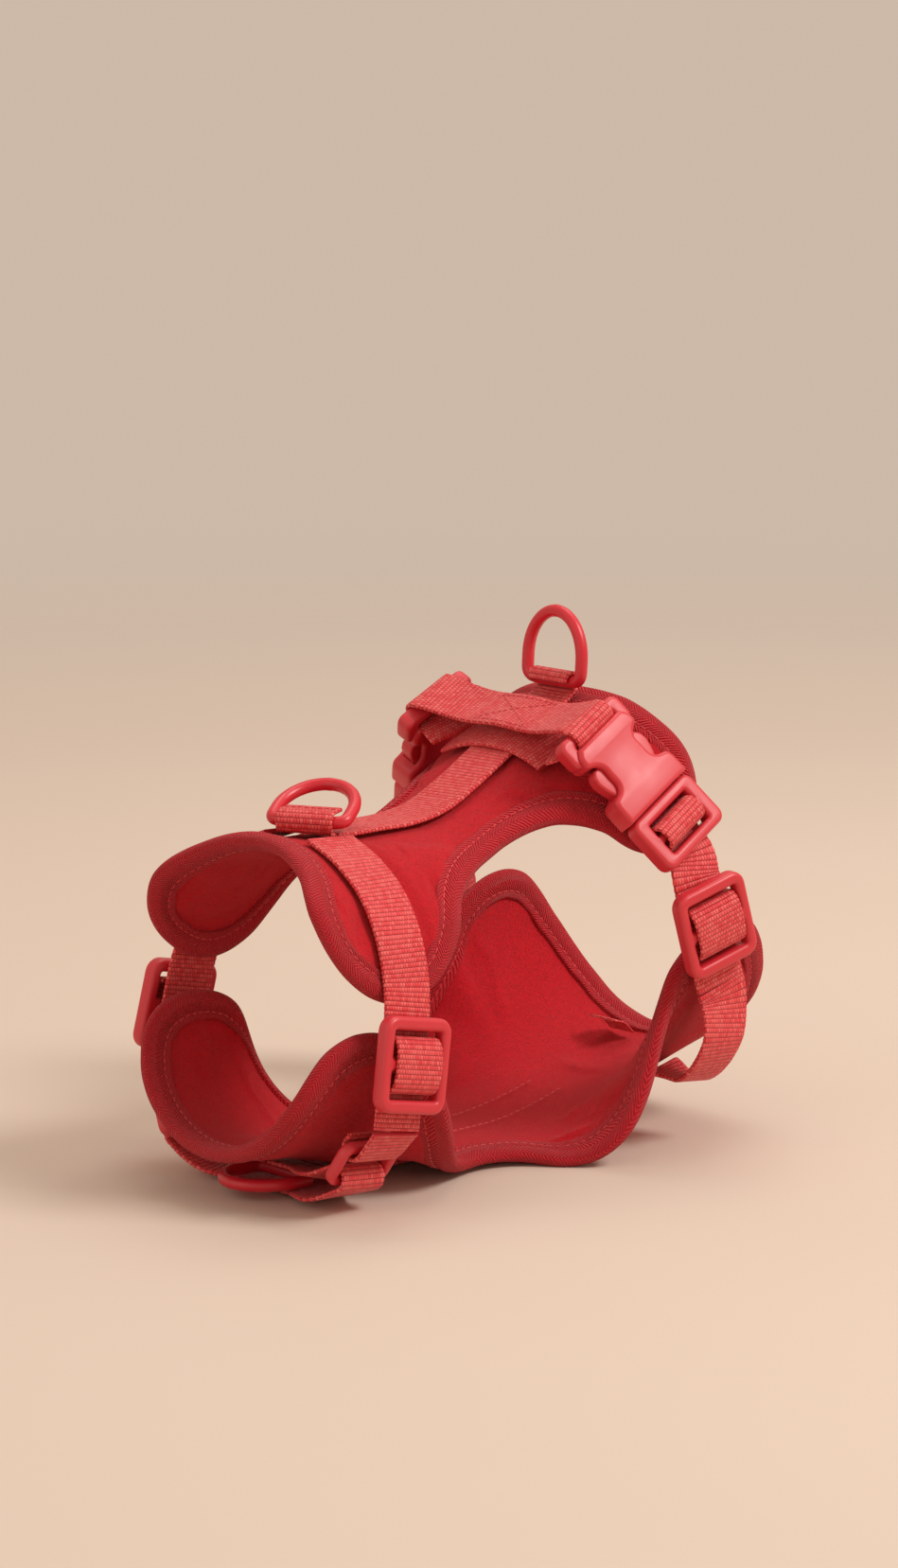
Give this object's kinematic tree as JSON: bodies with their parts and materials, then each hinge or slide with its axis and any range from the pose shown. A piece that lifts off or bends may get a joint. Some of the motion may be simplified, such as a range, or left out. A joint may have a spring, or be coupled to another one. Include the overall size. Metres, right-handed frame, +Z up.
{
  "type": "dog vest harness",
  "caption": "Small padded vest harness for a dog: back and chest panels joined by adjustable neck and girth straps, with side-release buckles and rings for a lead.",
  "frame": {"origin": "middle of the bounding box at the surface it stands on", "axes": "+Z up, the dog's head towards -X, its left side towards -Y"},
  "size_m": [0.2194, 0.15, 0.1861],
  "materials": {
    "panel_fabric": "matte padded polyester twill",
    "binding_tape": "herringbone tape, folded and stitched",
    "webbing": "woven polyester webbing",
    "hardware_plastic": "moulded acetal, fine satin",
    "ring_coating": "welded steel wire with a coloured coating"
  },
  "bodies": {
    "harness": {"back_panel": "panel_fabric", "back_panel_binding": "binding_tape", "chest_panel": "panel_fabric", "chest_panel_binding": "binding_tape", "spine_strap": "webbing", "rear_ring_loop": "webbing", "belly_strap": "webbing", "blank_label": "webbing", "girth_top_strap": "webbing", "girth_belly_strap": "webbing", "chest_strap": "webbing", "left_buckle_socket": "hardware_plastic", "left_neck_strap": "webbing", "left_neck_strap_end": "webbing", "left_girth_strap_end": "webbing", "right_buckle_socket": "hardware_plastic", "right_neck_strap": "webbing", "right_neck_strap_end": "webbing", "right_girth_strap_end": "webbing"},
    "left_plug": {"left_buckle_plug": "hardware_plastic", "left_plug_webbing": "webbing", "left_girth_strap": "webbing"},
    "left_first_prong": {"left_buckle_first_prong": "hardware_plastic"},
    "left_second_prong": {"left_buckle_second_prong": "hardware_plastic"},
    "left_girth_adjuster": {"left_girth_slide": "hardware_plastic", "left_girth_slide_webbing": "webbing"},
    "left_neck_adjuster": {"left_neck_slide": "hardware_plastic", "left_neck_slide_webbing": "webbing"},
    "left_loop": {"left_chest_loop": "hardware_plastic"},
    "right_plug": {"right_buckle_plug": "hardware_plastic", "right_plug_webbing": "webbing", "right_girth_strap": "webbing"},
    "right_first_prong": {"right_buckle_first_prong": "hardware_plastic"},
    "right_second_prong": {"right_buckle_second_prong": "hardware_plastic"},
    "right_girth_adjuster": {"right_girth_slide": "hardware_plastic", "right_girth_slide_webbing": "webbing"},
    "right_neck_adjuster": {"right_neck_slide": "hardware_plastic", "right_neck_slide_webbing": "webbing"},
    "right_loop": {"right_chest_loop": "hardware_plastic"},
    "front_ring": {"front_ring": "ring_coating"},
    "rear_ring": {"rear_ring": "ring_coating"},
    "chest_ring": {"chest_ring": "ring_coating"}
  },
  "joints": [
    {"name": "front_ring_swing", "type": "hinge", "parent": "harness", "child": "front_ring", "pos_m": [-0.0637, 0, 0.12495], "axis": [-0.4794, 0.8776, 0], "range_deg": [-125, 8]},
    {"name": "rear_ring_swing", "type": "hinge", "parent": "harness", "child": "rear_ring", "pos_m": [0.0548, 0.003, 0.15995], "axis": [0, 1, 0], "range_deg": [-75, 75]},
    {"name": "chest_ring_swing", "type": "hinge", "parent": "harness", "child": "chest_ring", "pos_m": [-0.0737, 0, 0.00535], "axis": [0, 1, 0], "range_deg": [-1.5, 10]},
    {"name": "left_buckle_release", "type": "slide", "parent": "harness", "child": "left_plug", "axis": [0.4407, -0.5208, -0.7311], "range_m": [0, 0.0225], "deforming": ["left_girth_strap_end"]},
    {"name": "left_first_prong_flex", "type": "hinge", "parent": "left_plug", "child": "left_first_prong", "pos_m": [0.03994, -0.05282, 0.12252], "axis": [-0.1904, -0.8502, 0.4908], "range_deg": [-16.6, 0]},
    {"name": "left_second_prong_flex", "type": "hinge", "parent": "left_plug", "child": "left_second_prong", "pos_m": [0.05486, -0.05151, 0.13058], "axis": [-0.1904, -0.8502, 0.4908], "range_deg": [0, 16.6]},
    {"name": "left_girth_adjust", "type": "slide", "parent": "left_plug", "child": "left_girth_adjuster", "axis": [0.3011, 0, -0.9536], "range_m": [0, 0.008]},
    {"name": "left_neck_adjust", "type": "slide", "parent": "harness", "child": "left_neck_adjuster", "axis": [-0.1993, -0.0797, -0.9767], "range_m": [0, 0.008]},
    {"name": "left_loop_swing", "type": "hinge", "parent": "harness", "child": "left_loop", "pos_m": [-0.07972, -0.04112, 0.01269], "axis": [-0.9886, -0.0762, 0.1296], "range_deg": [-12, 12], "deforming": ["left_neck_strap_end"]},
    {"name": "right_buckle_release", "type": "slide", "parent": "harness", "child": "right_plug", "axis": [0.4407, 0.5208, -0.7311], "range_m": [0, 0.0225], "deforming": ["right_girth_strap_end"]},
    {"name": "right_first_prong_flex", "type": "hinge", "parent": "right_plug", "child": "right_first_prong", "pos_m": [0.05486, 0.05751, 0.13058], "axis": [-0.1904, 0.8502, 0.4908], "range_deg": [-16.6, 0]},
    {"name": "right_second_prong_flex", "type": "hinge", "parent": "right_plug", "child": "right_second_prong", "pos_m": [0.03994, 0.05882, 0.12252], "axis": [-0.1904, 0.8502, 0.4908], "range_deg": [0, 16.6]},
    {"name": "right_girth_adjust", "type": "slide", "parent": "right_plug", "child": "right_girth_adjuster", "axis": [0.3011, 0, -0.9536], "range_m": [0, 0.008]},
    {"name": "right_neck_adjust", "type": "slide", "parent": "harness", "child": "right_neck_adjuster", "axis": [-0.1993, 0.0797, -0.9767], "range_m": [0, 0.008]},
    {"name": "right_loop_swing", "type": "hinge", "parent": "harness", "child": "right_loop", "pos_m": [-0.07972, 0.04112, 0.01269], "axis": [0.9886, -0.0762, -0.1296], "range_deg": [-12, 12], "deforming": ["right_neck_strap_end"]}
  ],
  "couplings": [
    {"joint": "left_first_prong_flex", "follows": "left_buckle_release", "rad_per_m": -12.8},
    {"joint": "left_second_prong_flex", "follows": "left_buckle_release", "rad_per_m": 12.8},
    {"joint": "right_first_prong_flex", "follows": "right_buckle_release", "rad_per_m": -12.8},
    {"joint": "right_second_prong_flex", "follows": "right_buckle_release", "rad_per_m": 12.8}
  ]
}
